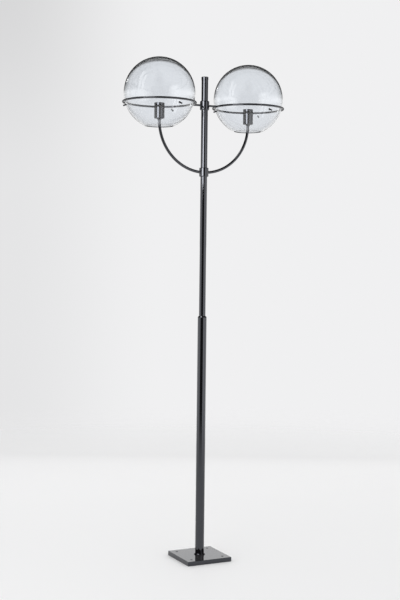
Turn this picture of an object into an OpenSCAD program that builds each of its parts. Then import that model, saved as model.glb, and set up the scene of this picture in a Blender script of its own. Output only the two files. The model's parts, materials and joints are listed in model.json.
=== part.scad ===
// Floor lamp with two clear globes: a stepped black pole on a square plate,
// two quarter-round arms that end in lampholders, and two rings that carry the globes.
// Units are mm. Z is up, the origin is under the middle of the plate, the arms lie along X.
// Left means the -X side.

/* [Base] */
// side of the square base plate
plate_side = 240; // [200:5:320]
// thickness of the base plate
plate_t = 22; // [14:1:30]
// distance from the plate's edges to the bolt holes
hole_edge = 34; // [25:1:45]
// diameter of the bolt holes
hole_d = 11; // [7:0.5:14]
// diameter of the cable hole in the middle of the plate
cable_hole_d = 20; // [12:1:26]
// width of the ring round the foot of the pole
foot_ring_w = 5; // [3:0.5:10]
// height of the ring round the foot of the pole
foot_ring_h = 6; // [4:0.5:12]

/* [Pole] */
// outside diameter of the lower tube
lower_d = 45; // [42:1:60]
// wall of the lower tube
lower_wall = 2.5; // [2:0.25:3]
// length of the lower tube
lower_len = 1196; // [900:10:1400]
// height of the turned shoulder above the lower tube
shoulder_h = 8; // [6:0.5:14]
// depth of the reducer inside the lower tube
reducer_depth = 90; // [60:5:140]
// outside diameter of the upper tube
upper_d = 33; // [30:1:34]
// wall of the upper tube
upper_wall = 2; // [1.5:0.25:2.5]
// height of the pole above the shoulder
upper_show = 1191; // [1000:10:1300]
// height of the cap on the pole
cap_h = 15; // [10:1:25]
// thickness of the cap
cap_wall = 1; // [0.8:0.1:2]

/* [Collars] */
// diameter of the two collars
collar_d = 46; // [43:1:54]
// height of the two collars
collar_h = 44; // [34:1:50]
// rounding of the collars' edges
collar_edge = 3; // [1:0.5:4]
// distance from the top of the pole to the middle of the upper collar
top_to_ring = 142; // [110:1:180]
// diameter of the set screws
screw_d = 6; // [5:1:6]

/* [Globes] */
// outside diameter of a globe
globe_d = 350; // [300:5:370]
// thickness of the glass
glass_t = 3; // [2.5:0.25:5]
// diameter of the mouth in the bottom of a globe
mouth_d = 142; // [120:2:160]
// height of a globe's middle above its ring
ring_drop = 45; // [36:1:50]
// diameter of the ring's rod
rod_d = 10; // [8:1:12]
// thickness of the soft pads between a ring and its globe
pad_t = 3; // [1:0.5:4]
// distance from a ring down to the pins on the glass
pin_below = 17; // [15:1:22]
// diameter of the pins
pin_d = 7.5; // [6:0.5:9]
// length of a pin outside the glass
pin_len = 15; // [12:1:20]

/* [Arms and lampholders] */
// distance from the pole to a globe's middle
reach = 246; // [235:1:290]
// outside diameter of the arm tube
arm_d = 14; // [12:1:16]
// wall of the arm tube
arm_wall = 1.5; // [1:0.25:2]
// distance from a globe's middle down to the lampholder's rim
holder_below = 48; // [30:1:70]
// diameter of the lampholder's cup
cup_d = 50; // [47:1:56]
// height of the lampholder's cup
cup_h = 76; // [68:1:84]
// thickness of the cup
cup_wall = 1.5; // [1:0.25:2]
// inside diameter of the screw shell
socket_d = 26.6; // [26.6:0.1:27]
// depth of the socket below the insulator's rim
socket_depth = 28; // [25:1:32]
// diameter of the cable inside the arms
cord_d = 6; // [4:0.5:6.5]

/* [Which part] */
// the part to draw, or all of them

/* [Hidden] */
$fn = 96;
fit = 0.05;      // gap all round where two parts of one body fit together
air = 0.3;       // gap between curved faces that move past each other
run = 0.05;      // gap all round of the upper tube in the reducer

hole_xy = plate_side / 2 - hole_edge;

lower_r = lower_d / 2;
lower_in_r = lower_r - lower_wall;
lower_top = plate_t + lower_len;
shoulder_top = lower_top + shoulder_h;
upper_r = upper_d / 2;
upper_in_r = upper_r - upper_wall;
pole_top = shoulder_top + upper_show;
stop_t = 6;                                  // the step the upper tube stands on
stop_z = lower_top - reducer_depth + stop_t;
lock_z = lower_top - 18;                     // the set screw in the reducer
cap_roof = 2;
upper_top = pole_top - cap_roof;

collar_r = collar_d / 2;
ring_z = pole_top - top_to_ring;             // upper collar and both rings
globe_z = ring_z + ring_drop;
globe_r = globe_d / 2;
glass_r = globe_r - glass_t;
rod_r = rod_d / 2;
ring_r = sqrt(pow(globe_r + air + pad_t + rod_r, 2) - pow(ring_drop, 2));
pad_angle = atan(ring_drop / ring_r);
mouth_z = sqrt(globe_r * globe_r - mouth_d * mouth_d / 4);

pin_angle = asin((ring_drop + pin_below) / globe_r);
pin_turns = [-77, 43, 163];                  // round the globe, from +X
pad_turns = [-17, 103, 223];
pad_r = 4;
pin_hole_r = 3.2;
stud_r = 2.5;
washer_t = 1;
nut_t = 3.5;
nut_r = 5;

cup_top = globe_z - holder_below;
cup_z = cup_top - cup_h;                     // underside of the cup
cup_in_r = cup_d / 2 - cup_wall;
cone_h = 9;                                  // nut under the cup
lock_t = 4;                                  // nut inside the cup
arm_r = arm_d / 2;
arm_in_r = arm_r - arm_wall;
bend_z = cup_z - cone_h + 2;                 // the arm is upright from here
spigot_x = upper_r + 1.2;                    // the arm ends here, inside the lower collar
lower_z = bend_z - sqrt(reach * reach - collar_r * collar_r);   // middle of that collar
thread_top = cup_z + cup_wall + lock_t + 3;  // top end of the arm tube

porcelain_top = cup_top - 1;
porcelain_z = thread_top + 6;
porcelain_r = cup_in_r - fit;
shell_wall = 0.75;
shell_out_r = socket_d / 2 + shell_wall;
socket_z = porcelain_top - socket_depth;     // floor of the socket
chamber_t = 4;                               // the space below the shell for the centre contact
chamber_r = 9;
cord_r = cord_d / 2;
cord_seat = 5;                               // how far a cable enters the insulator

block_w = 20;                                // the block wedged in the upper tube, between the arms
block_y = 2 * sqrt(pow(upper_in_r - 0.15, 2) - block_w * block_w / 4);
block_h = 30;
block_top = lower_z + block_h / 2;
cord_x = block_w / 2 + cord_r * block_w / reach + fit;   // the cable ends here, at the block
block_screw_r = 2;
block_screw_t = 4;

screw_r = screw_d / 2;
hex_d = screw_d / 2 + 0.5;

// Helpers

module lacquer() color([0.03, 0.03, 0.035]) children();
module steel() color([0.5, 0.5, 0.52]) children();
module yellow_metal() color([0.75, 0.6, 0.3]) children();
module clear() color([0.8, 0.86, 0.9, 0.35]) children();

// a plain tube standing on its end
module tube(r_out, r_in, h) {
    difference() {
        cylinder(r = r_out, h = h);
        translate([0, 0, -1]) cylinder(r = r_in, h = h + 2);
    }
}

// a turned bush with bevelled outer edges and a bore
module bush(r_out, r_in, h, edge) {
    rotate_extrude()
        polygon([[r_in, 0], [r_out - edge, 0], [r_out, edge], [r_out, h - edge],
                 [r_out - edge, h], [r_in, h]]);
}

// the set screw, its tip at x = 0 and its socket at the other end
module set_screw(length) {
    rotate([0, 90, 0]) difference() {
        cylinder(r = screw_r, h = length);
        translate([0, 0, length - 2.5]) cylinder(d = hex_d, h = 4, $fn = 6);
    }
}

// what belongs to the left or the right half of the head
module half(side) {
    if (side < 0) rotate([0, 0, 180]) children();
    else children();
}

// the quarter bend of an arm, from under its lampholder in to x_end beside the pole
module arm_arc(x_end) {
    translate([0, 0, bend_z]) rotate([-90, 0, 0])
        rotate_extrude(angle = acos(x_end / reach)) translate([reach, 0]) children();
}

// one place on a globe's surface, z pointing out of the glass
module at_pins(side) {
    for (turn = pin_turns)
        translate([side * reach, 0, globe_z]) rotate([0, 0, turn])
            rotate([0, 90 + pin_angle, 0]) children();
}

// Foot and lower pole

module base_plate() {
    lacquer() difference() {
        translate([-plate_side / 2, -plate_side / 2, 0]) cube([plate_side, plate_side, plate_t]);
        for (x = [-hole_xy, hole_xy], y = [-hole_xy, hole_xy])
            translate([x, y, -1]) cylinder(d = hole_d, h = plate_t + 2);
        translate([0, 0, -1]) cylinder(d = cable_hole_d, h = plate_t + 2);
    }
}

module foot_ring() {
    lacquer() translate([0, 0, plate_t])
        rotate_extrude()
            polygon([[lower_r + fit, 0], [lower_r + foot_ring_w, 0],
                     [lower_r + foot_ring_w, foot_ring_h * 0.6],
                     [lower_r + foot_ring_w - foot_ring_h * 0.4, foot_ring_h],
                     [lower_r + fit, foot_ring_h]]);
}

module lower_pole() {
    lacquer() difference() {
        translate([0, 0, plate_t]) tube(lower_r, lower_in_r, lower_len);
        translate([0, lower_in_r - 2, lock_z]) rotate([-90, 0, 0])
            cylinder(r = screw_r + fit, h = lower_wall + 4);
    }
}

module pole_reducer() {
    lacquer() difference() {
        union() {
            translate([0, 0, lower_top - reducer_depth]) cylinder(r = lower_in_r - fit, h = reducer_depth);
            translate([0, 0, lower_top]) cylinder(r1 = lower_r, r2 = lower_r, h = shoulder_h * 0.2);
            translate([0, 0, lower_top + shoulder_h * 0.2])
                cylinder(r1 = lower_r, r2 = upper_r + 1, h = shoulder_h * 0.8);
        }
        translate([0, 0, stop_z]) cylinder(r = upper_r + run, h = reducer_depth + shoulder_h);
        translate([0, 0, stop_z - stop_t - 1]) cylinder(r = upper_in_r, h = stop_t + 2);
        translate([0, upper_r - 2, lock_z]) rotate([-90, 0, 0])
            cylinder(r = screw_r + fit, h = lower_in_r - upper_r + 4);
    }
}

module reducer_screw() {
    steel() translate([0, upper_r + air, lock_z]) rotate([0, 0, 90])
        set_screw(lower_r - upper_r - air - 0.5);
}

// Upper pole and collars

module upper_pole() {
    lacquer() difference() {
        translate([0, 0, stop_z]) tube(upper_r, upper_in_r, upper_top - stop_z);
        for (side = [-1, 1]) half(side)
            arm_arc(upper_in_r - 4) circle(r = arm_in_r);
    }
}

module pole_cap() {
    lacquer() translate([0, 0, pole_top - cap_h])
        rotate_extrude()
            polygon([[upper_r + fit, 0], [upper_r + cap_wall, 0],
                     [upper_r + cap_wall, cap_h - 1.5], [upper_r + cap_wall - 1.5, cap_h],
                     [0, cap_h], [0, cap_h - cap_roof], [upper_r + fit, cap_h - cap_roof]]);
}

module collar_blank(z) {
    translate([0, 0, z - collar_h / 2]) bush(collar_r, upper_r + fit, collar_h, collar_edge);
}

module collar_screw_hole(z) {
    translate([0, upper_r - 2, z]) rotate([-90, 0, 0])
        cylinder(r = screw_r + fit, h = collar_r - upper_r + 4);
}

module lower_collar() {
    lacquer() difference() {
        collar_blank(lower_z);
        for (side = [-1, 1]) half(side)
            arm_arc(upper_in_r) circle(r = arm_r + fit);
        collar_screw_hole(lower_z);
    }
}

module upper_collar() {
    lacquer() difference() {
        collar_blank(ring_z);
        for (side = [-1, 1])
            translate([0, 0, ring_z]) rotate([0, side * 90, 0])
                translate([0, 0, upper_in_r]) cylinder(r = rod_r + fit, h = collar_r);
        collar_screw_hole(ring_z);
    }
}

module collar_screws() {
    steel() for (z = [lower_z, ring_z])
        translate([0, upper_r + fit, z]) rotate([0, 0, 90])
            set_screw(collar_r - upper_r - 0.6);
}

// Rings

module ring(side) {
    lacquer() translate([side * reach, 0, ring_z])
        rotate_extrude() translate([ring_r, 0]) circle(r = rod_r);
}
module ring_left() ring(-1);
module ring_right() ring(1);

module ring_rod(side) {
    rod_in = upper_r + 0.4;
    lacquer() half(side) difference() {
        translate([rod_in, 0, ring_z]) rotate([0, 90, 0])
            cylinder(r = rod_r, h = reach - ring_r - rod_in);
        translate([reach, 0, ring_z])
            rotate_extrude() translate([ring_r, 0]) circle(r = rod_r + 0.02);
    }
}
module ring_rod_left() ring_rod(-1);
module ring_rod_right() ring_rod(1);

// clear soft pads, stuck to the rod where the glass would meet it
module ring_pads(side) {
    clear() translate([side * reach, 0, globe_z]) for (turn = pad_turns)
        rotate([0, 0, turn]) rotate([0, 90 + pad_angle, 0])
            translate([0, 0, globe_r + air]) cylinder(r = pad_r, h = pad_t - 0.02);
}
module ring_pads_left() ring_pads(-1);
module ring_pads_right() ring_pads(1);

// Arms and lampholders

module arm(side) {
    lacquer() half(side) {
        arm_arc(spigot_x) difference() { circle(r = arm_r); circle(r = arm_in_r); }
        translate([reach, 0, bend_z]) tube(arm_r, arm_in_r, thread_top - bend_z);
    }
}
module arm_left() arm(-1);
module arm_right() arm(1);

module cone_nut(side) {
    lacquer() translate([side * reach, 0, cup_z - cone_h]) difference() {
        cylinder(r1 = arm_r + 0.8, r2 = arm_r + 4, h = cone_h);
        translate([0, 0, -1]) cylinder(r = arm_r + fit, h = cone_h + 2);
    }
}
module cone_nut_left() cone_nut(-1);
module cone_nut_right() cone_nut(1);

module holder_cup(side) {
    lacquer() translate([side * reach, 0, cup_z])
        rotate_extrude()
            polygon([[arm_r + fit, 0], [cup_d / 2 - 2, 0], [cup_d / 2, 2], [cup_d / 2, cup_h],
                     [cup_in_r, cup_h], [cup_in_r, cup_wall], [arm_r + fit, cup_wall]]);
}
module holder_cup_left() holder_cup(-1);
module holder_cup_right() holder_cup(1);

module holder_lock(side) {
    steel() translate([side * reach, 0, cup_z + cup_wall]) difference() {
        cylinder(r = arm_r + 4.5, h = lock_t, $fn = 6);
        translate([0, 0, -1]) cylinder(r = arm_r + fit, h = lock_t + 2);
    }
}
module holder_lock_left() holder_lock(-1);
module holder_lock_right() holder_lock(1);

module insulator(side) {
    color([0.93, 0.92, 0.88]) translate([side * reach, 0, 0]) difference() {
        translate([0, 0, porcelain_z]) cylinder(r = porcelain_r, h = porcelain_top - porcelain_z);
        translate([0, 0, socket_z]) cylinder(r = shell_out_r + fit, h = socket_depth + 1);
        translate([0, 0, socket_z - chamber_t]) cylinder(r = chamber_r, h = chamber_t + 1);
        translate([0, 0, porcelain_z - 1]) cylinder(r = cord_r + 0.1, h = cord_seat + 1);
    }
}
module insulator_left() insulator(-1);
module insulator_right() insulator(1);

module screw_shell(side) {
    yellow_metal() translate([side * reach, 0, socket_z])
        tube(shell_out_r, socket_d / 2, socket_depth - 1);
}
module screw_shell_left() screw_shell(-1);
module screw_shell_right() screw_shell(1);

module centre_contact(side) {
    yellow_metal() translate([side * reach, 0, socket_z - chamber_t]) {
        cylinder(r = chamber_r - 2, h = 1.5);
        cylinder(r = 3.5, h = chamber_t - 0.5);
    }
}
module centre_contact_left() centre_contact(-1);
module centre_contact_right() centre_contact(1);

// Wiring inside the head

module cable(side) {
    color([0.1, 0.1, 0.11]) half(side) {
        translate([reach, 0, bend_z]) cylinder(r = cord_r, h = porcelain_z + cord_seat - bend_z);
        arm_arc(cord_x) circle(r = cord_r);
    }
}
module cable_left() cable(-1);
module cable_right() cable(1);

module terminal_block() {
    color([0.9, 0.9, 0.86]) difference() {
        translate([-block_w / 2, -block_y / 2, block_top - block_h]) cube([block_w, block_y, block_h]);
        for (x = [-block_w / 4, block_w / 4], z = [block_h * 0.25, block_h * 0.75])
            translate([x, -block_y / 2 + block_screw_t, block_top - z]) rotate([90, 0, 0])
                cylinder(r = block_screw_r + fit, h = block_screw_t + 1);
    }
}

module terminal_screws() {
    steel() for (x = [-block_w / 4, block_w / 4], z = [block_h * 0.25, block_h * 0.75])
        translate([x, -block_y / 2 + block_screw_t, block_top - z]) rotate([90, 0, 0])
            difference() {
                cylinder(r = block_screw_r, h = block_screw_t - 1);
                translate([-block_screw_r, -0.3, block_screw_t - 1.8])
                    cube([2 * block_screw_r, 0.6, 2]);
            }
}

// Globes and their pins

module globe(side) {
    clear() difference() {
        translate([side * reach, 0, globe_z]) difference() {
            sphere(r = globe_r);
            sphere(r = glass_r);
            translate([0, 0, -mouth_z - globe_r]) cylinder(r = globe_r, h = globe_r);
        }
        at_pins(side) translate([0, 0, glass_r - 5]) cylinder(r = pin_hole_r, h = glass_t + 10);
    }
}
module globe_left() globe(-1);
module globe_right() globe(1);

module pins(side) {
    color([0.05, 0.05, 0.05]) at_pins(side) {
        translate([0, 0, globe_r + washer_t]) cylinder(r = pin_d / 2, h = pin_len - washer_t);
        translate([0, 0, glass_r - washer_t - nut_t]) cylinder(r = stud_r, h = glass_t + 2 * washer_t + nut_t);
    }
}
module pins_left() pins(-1);
module pins_right() pins(1);

// a soft washer on each face of the glass
module pin_washers(side) {
    color([0.1, 0.1, 0.1]) at_pins(side) {
        difference() {
            translate([0, 0, globe_r - 1]) tube(pin_d / 2 + 0.5, stud_r + fit, washer_t + 1);
            sphere(r = globe_r + 0.01);
        }
        intersection() {
            translate([0, 0, glass_r - washer_t]) tube(nut_r, stud_r + fit, washer_t + 1);
            sphere(r = glass_r - 0.01);
        }
    }
}
module pin_washers_left() pin_washers(-1);
module pin_washers_right() pin_washers(1);

module pin_nuts(side) {
    steel() at_pins(side)
        translate([0, 0, glass_r - washer_t - nut_t]) difference() {
            cylinder(r = nut_r, h = nut_t, $fn = 6);
            translate([0, 0, -1]) cylinder(r = stud_r + fit, h = nut_t + 2);
        }
}
module pin_nuts_left() pin_nuts(-1);
module pin_nuts_right() pin_nuts(1);

// Which part is drawn

base_plate();
foot_ring();
lower_pole();
pole_reducer();
reducer_screw();
upper_pole();
pole_cap();
lower_collar();
upper_collar();
collar_screws();
ring_left();
ring_right();
ring_rod_left();
ring_rod_right();
ring_pads_left();
ring_pads_right();
arm_left();
arm_right();
cone_nut_left();
cone_nut_right();
holder_cup_left();
holder_cup_right();
holder_lock_left();
holder_lock_right();
insulator_left();
insulator_right();
screw_shell_left();
screw_shell_right();
centre_contact_left();
centre_contact_right();
cable_left();
cable_right();
terminal_block();
terminal_screws();
globe_left();
globe_right();
pins_left();
pins_right();
pin_washers_left();
pin_washers_right();
pin_nuts_left();
pin_nuts_right();
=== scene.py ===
import json
from math import acos, asin, cos, pi, radians, sin, sqrt, tan

import bmesh
import bpy
from bpy.props import FloatProperty, FloatVectorProperty, IntProperty, PointerProperty
from bpy.types import Operator, Panel, PropertyGroup
from mathutils import Matrix, Vector


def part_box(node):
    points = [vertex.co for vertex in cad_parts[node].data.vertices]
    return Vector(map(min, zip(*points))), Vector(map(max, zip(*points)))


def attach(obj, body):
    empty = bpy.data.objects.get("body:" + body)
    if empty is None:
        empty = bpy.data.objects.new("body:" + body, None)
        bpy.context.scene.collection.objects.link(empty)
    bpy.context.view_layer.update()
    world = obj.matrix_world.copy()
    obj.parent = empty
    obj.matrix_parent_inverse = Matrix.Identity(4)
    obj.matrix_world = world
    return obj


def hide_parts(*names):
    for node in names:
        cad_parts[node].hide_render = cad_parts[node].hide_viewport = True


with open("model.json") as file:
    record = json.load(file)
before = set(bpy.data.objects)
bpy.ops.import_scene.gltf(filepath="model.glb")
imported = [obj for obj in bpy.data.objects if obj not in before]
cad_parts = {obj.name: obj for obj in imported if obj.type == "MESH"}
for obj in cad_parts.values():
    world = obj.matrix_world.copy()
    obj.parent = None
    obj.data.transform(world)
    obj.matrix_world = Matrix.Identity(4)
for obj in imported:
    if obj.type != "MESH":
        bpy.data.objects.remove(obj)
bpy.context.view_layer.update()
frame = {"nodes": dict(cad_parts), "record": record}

bl_info = {
    "name": "Two-globe floor lamp",
    "version": (1, 0, 0),
    "blender": (4, 5, 0),
    "location": "3D View > Sidebar > Lamp",
    "description": "Makes the finished pieces of a floor lamp with two clear globes, and its studio",
    "category": "Object",
}

SIDES = ("left", "right")
TINY = 1e-6


# Places read from the frame

def low(node):
    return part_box(node)[0]


def high(node):
    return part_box(node)[1]


def radius_of(node):
    """Half the width of a round node."""
    lo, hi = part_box(node)
    return (hi.x - lo.x) / 2


def middle_of(node):
    lo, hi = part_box(node)
    return (lo + hi) / 2


def mount(name):
    """The dimensions of a mount."""
    return next(m for m in frame["record"]["mounts"] if m["name"] == name)["dims"]


GLOBE_R = radius_of("globe_right")
GLOBE_X = middle_of("globe_right").x
GLOBE_Z = high("globe_right").z - GLOBE_R
MOUTH_R = sqrt(GLOBE_R ** 2 - (GLOBE_Z - low("globe_right").z) ** 2)
TUBE_R = radius_of("upper_pole")
LOWER_R = radius_of("lower_pole")
RING_Z = middle_of("ring_right").z
ROD_R = (high("ring_right").z - low("ring_right").z) / 2
RING_R = radius_of("ring_right") - ROD_R
ARM_R = high("arm_right").y
CUP_R = radius_of("holder_cup_right")
SHELL_R = radius_of("screw_shell_right")
PORCELAIN_R = radius_of("insulator_right")

# Sizes of small pieces, in metres
CHAMBER_R = 0.009
PAD_R = 0.004
PAD_COUNT = 3
PIN_R = 0.00375
PIN_LENGTH = 0.015
STUD_R = 0.0025
NUT_APOTHEM = 0.00433
NUT_T = 0.0035
WASHER_T = 0.001
OUTER_WASHER_R = 0.00425
INNER_WASHER_R = 0.005

# Gaps, in metres
FIT = 0.00005  # round a tube in its seat
STEP_GAP = 0.0001  # under the thin tube
ROD_GAP = 0.00002  # between a pad and its rod
GLASS_GAP = 0.00028  # between a pad and the glass
ARM_GAP = 0.0012  # between the pole and the end of an arm

# How far a model may stand out from the box of its node, or stay inside it
SEAT_TOLERANCE = 0.0016


def length(name, default, description):
    return FloatProperty(name=name, description=description, default=default, min=0.0,
                         max=0.1, precision=5, subtype="DISTANCE", unit="LENGTH")


def turn_of(name, degrees, description):
    return FloatProperty(name=name, description=description, default=radians(degrees),
                         subtype="ANGLE", unit="ROTATION")


def colour(name, default, what):
    return FloatVectorProperty(name=name, description="Colour of the " + what, default=default,
                               size=3, min=0.0, max=1.0, subtype="COLOR")


def power(name, default, description):
    return FloatProperty(name=name, description=description, default=default, min=0.0,
                         max=50.0, subtype="FACTOR")


def glow(name, default, what):
    return power(name, default, "Brightness in reflections of the " + what)


class LampSizes(PropertyGroup):
    """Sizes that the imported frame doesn't give, in metres."""
    plate_edge: length("Plate edge", 0.0012, "Rounding of the plate's edges")
    plate_corner: length("Plate corner", 0.0025, "Rounding of the plate's upright corners")
    lower_wall: length("Lower tube wall", 0.0025, "Wall of the thick tube")
    upper_wall: length("Upper tube wall", 0.002, "Wall of the thin tube")
    arm_wall: length("Arm wall", 0.0015, "Wall of the bent tubes")
    collar_edge: length("Collar edge", 0.0030, "Rounding of the collars' edges")
    cup_wall: length("Cup wall", 0.0015, "Wall of the lampholder cups")
    cup_edge: length("Cup edge", 0.0022, "Rounding of the lower edge of the cups")
    glass_wall: length("Glass wall", 0.003, "Wall of the globes")
    bend_rise: length("Bend rise", 0.002, "Height over the cone nut's underside where an arm "
                      "turns upright")
    pin_drop: length("Pin drop", 0.062, "Distance from a globe's middle down to its pins")
    pin_hole_r: length("Pin hole", 0.0032, "Radius of the holes for the pins in the glass")
    thread_pitch: length("Thread pitch", 0.00362, "Pitch of the rolled thread in the sockets")
    thread_depth: length("Thread depth", 0.0011, "Depth of the rolled thread in the sockets")
    first_pin: turn_of("First pin", -77, "Turn of the first pin round a globe")
    first_pad: turn_of("First pad", -17, "Turn of the first pad round a ring")
    pins: IntProperty(name="Pins", description="Pins on each globe", default=3, min=2, max=6)


class LampColours(PropertyGroup):
    """Colours of the finishes."""
    lacquer: colour("Lacquer", (0.0045, 0.0045, 0.0052), "gloss black lacquer")
    dust: colour("Dust", (0.35, 0.35, 0.355), "dust on faces that look up")
    glass: colour("Glass", (0.935, 0.955, 0.978), "clear glass")
    brass: colour("Brass", (0.78, 0.57, 0.27), "brass strip")
    steel: colour("Steel", (0.56, 0.57, 0.58), "plain steel")
    porcelain: colour("Porcelain", (0.80, 0.79, 0.75), "glazed insulators")
    pad: colour("Pad", (0.72, 0.75, 0.77), "clear soft pads")
    rubber: colour("Rubber", (0.03, 0.03, 0.031), "washers and the cable sheath")
    block: colour("Block", (0.66, 0.65, 0.60), "moulded terminal block")
    backdrop: colour("Backdrop", (0.872, 0.872, 0.88), "studio behind the lamp")
    floor: colour("Floor", (0.92, 0.92, 0.925), "studio floor")


class LampStudio(PropertyGroup):
    """Camera and lights."""
    lens: FloatProperty(name="Lens", description="Focal length in millimetres",
                        default=68.52, min=20, max=200)
    sky: power("Sky", 0.92, "Strength of the even light on every side")
    soft: power("Soft light", 1.0, "Strength of the large light that casts the shadows")
    dark_end: glow("Dark end", 0.02, "unlit end of the studio")
    ceiling: glow("Ceiling", 0.0, "ceiling")
    panels: glow("Panels", 1.2, "pale panels on both sides")
    key: glow("Key", 8.6, "soft box on the left")
    window: glow("Window", 2.3, "tall window, which only the globes show")
    fill: glow("Fill", 1.7, "soft box on the right")
    surround: glow("Surround", 0.3, "dim studio between the panels and soft boxes")
    back: glow("Back", 1.15, "low panel behind the lamp")
    rim: glow("Rim", 7.0, "small window behind on the left")


# Meshes

def new_object(name, mesh):
    thing = bpy.data.objects.new(name, mesh)
    bpy.context.scene.collection.objects.link(thing)
    return thing


def to_mesh(name, bm, angle=35):
    """A mesh that looks smooth but for the edges that turn by more than the angle."""
    bmesh.ops.recalc_face_normals(bm, faces=bm.faces)
    mesh = bpy.data.meshes.new(name)
    bm.to_mesh(mesh)
    bm.free()
    mesh.shade_smooth()
    mesh.set_sharp_from_angle(angle=radians(angle))
    return mesh


def drop(thing):
    """Removes an object and its mesh."""
    mesh = thing.data
    bpy.data.objects.remove(thing)
    bpy.data.meshes.remove(mesh)


def rounded(corners, steps=5):
    """A closed outline from (x, y) or (x, y, radius) corners, each rounded with an arc."""
    outline = []
    for i, (x, y, *given) in enumerate(corners):
        here = Vector((x, y))
        radius = given[0] if given else 0.0
        if radius <= 0:
            outline.append(here)
            continue
        before = (Vector(corners[i - 1][:2]) - here).normalized()
        after = (Vector(corners[(i + 1) % len(corners)][:2]) - here).normalized()
        half = before.angle(after) / 2
        centre = here + (before + after).normalized() * (radius / sin(half))
        start = here + before * (radius / tan(half)) - centre
        end = here + after * (radius / tan(half)) - centre
        sweep = start.angle(end)
        for k in range(steps + 1):
            turn = sweep * k / steps
            outline.append(centre + (start * sin(sweep - turn) + end * sin(turn)) / sin(sweep))
    return outline


def ring_of(steps, radius, height, centre=(0.0, 0.0)):
    """A loop of points; radius and height are numbers or functions of the direction."""
    loop = []
    for k in range(steps):
        theta = 2 * pi * k / steps
        r = radius(theta) if callable(radius) else radius
        z = height(theta) if callable(height) else height
        loop.append((centre[0] + r * cos(theta), centre[1] + r * sin(theta), z))
    return loop


def spin(name, outline, centre=(0.0, 0.0, 0.0), steps=96):
    """Turns a closed outline of (radius, height) points round an upright axis."""
    bm = bmesh.new()
    rings = []
    for radius, height in outline:
        count = steps if radius >= TINY else 1
        points = ring_of(count, radius, centre[2] + height, centre)
        rings.append([bm.verts.new(p) for p in points])
    for i, ring in enumerate(rings):
        other = rings[(i + 1) % len(rings)]
        if len(ring) == 1 and len(other) == 1:
            continue
        for k in range(steps):
            n = (k + 1) % steps
            corners = [ring[k % len(ring)]]
            if len(ring) > 1:
                corners.append(ring[n])
            corners.append(other[n % len(other)])
            if len(other) > 1:
                corners.append(other[k])
            bm.faces.new(corners)
    return new_object(name, to_mesh(name, bm))


def skin(name, loops, closed=False, caps=False, angle=35):
    """Faces between loops of equally many points.

    closed joins the last loop to the first, and caps fills the two end loops.
    """
    bm = bmesh.new()
    rows = [[bm.verts.new(p) for p in loop] for loop in loops]
    others = rows[1:] + rows[:1] if closed else rows[1:]
    for row, other in zip(rows, others):
        for k in range(len(row)):
            n = (k + 1) % len(row)
            bm.faces.new((row[k], row[n], other[n], other[k]))
    if caps:
        bm.faces.new(rows[0])
        bm.faces.new(rows[-1])
    return new_object(name, to_mesh(name, bm, angle))


def slab(name, outline, holes, bottom, top, edge):
    """A flat plate with round holes, every edge of it rounded."""
    flat = bpy.data.curves.new(name, "CURVE")
    flat.dimensions = "2D"
    flat.fill_mode = "BOTH"
    flat.extrude = (top - bottom) / 2 - edge
    flat.bevel_depth = edge
    flat.bevel_resolution = 3
    flat.offset = -edge
    for loop in (outline, *holes):
        spline = flat.splines.new("POLY")
        spline.points.add(len(loop) - 1)
        for point, place in zip(spline.points, loop):
            point.co = (place[0], place[1], 0, 1)
        spline.use_cyclic_u = True
    carrier = new_object(name, flat)
    mesh = evaluated_mesh(carrier)
    bpy.data.objects.remove(carrier)
    bpy.data.curves.remove(flat)
    mesh.transform(Matrix.Translation((0, 0, (top + bottom) / 2)))
    return new_object(name, welded(name, mesh))


def welded(name, mesh):
    """The same mesh with no point twice; the old one is removed."""
    bm = bmesh.new()
    bm.from_mesh(mesh)
    bpy.data.meshes.remove(mesh)
    bmesh.ops.remove_doubles(bm, verts=bm.verts, dist=TINY)
    return to_mesh(name, bm)


def evaluated_mesh(thing):
    bpy.context.view_layer.update()
    graph = bpy.context.evaluated_depsgraph_get()
    return bpy.data.meshes.new_from_object(thing.evaluated_get(graph))


def merged(name, things):
    """One piece from several meshes that ride together."""
    bm = bmesh.new()
    for thing in things:
        bm.from_mesh(thing.data)
        drop(thing)
    return new_object(name, to_mesh(name, bm))


def walled(thing, thickness, offset):
    """Gives a sheet a wall, inwards at offset -1 and outwards at 1."""
    wall = thing.modifiers.new("Wall", "SOLIDIFY")
    wall.thickness = thickness
    wall.offset = offset


# Geometry Nodes trees

def new_tree(inputs):
    """An empty tree with a geometry input, named inputs and a geometry output."""
    tree = bpy.data.node_groups.new("tree", "GeometryNodeTree")
    tree.interface.new_socket("Geometry", in_out="INPUT", socket_type="NodeSocketGeometry")
    for label, kind, default in (*inputs, ("Material", "Material", None)):
        socket = tree.interface.new_socket(label, in_out="INPUT", socket_type="NodeSocket" + kind)
        if default is not None:
            socket.default_value = default
    tree.interface.new_socket("Geometry", in_out="OUTPUT", socket_type="NodeSocketGeometry")
    return tree, tree.nodes.new("NodeGroupInput").outputs


def feed(tree, node, values):
    """Links or sets inputs of a node."""
    for key, value in values.items():
        if isinstance(value, bpy.types.NodeSocket):
            tree.links.new(value, node.inputs[key])
        else:
            node.inputs[key].default_value = value


def add(tree, kind, values=None, **settings):
    node = tree.nodes.new(kind)
    for key, value in settings.items():
        setattr(node, key, value)
    feed(tree, node, values or {})
    return node


def maths(tree, operation, *values):
    return add(tree, "ShaderNodeMath", dict(enumerate(values)), operation=operation).outputs[0]


def vector_maths(tree, operation, output, *values):
    return add(tree, "ShaderNodeVectorMath", dict(enumerate(values)),
               operation=operation).outputs[output]


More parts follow.
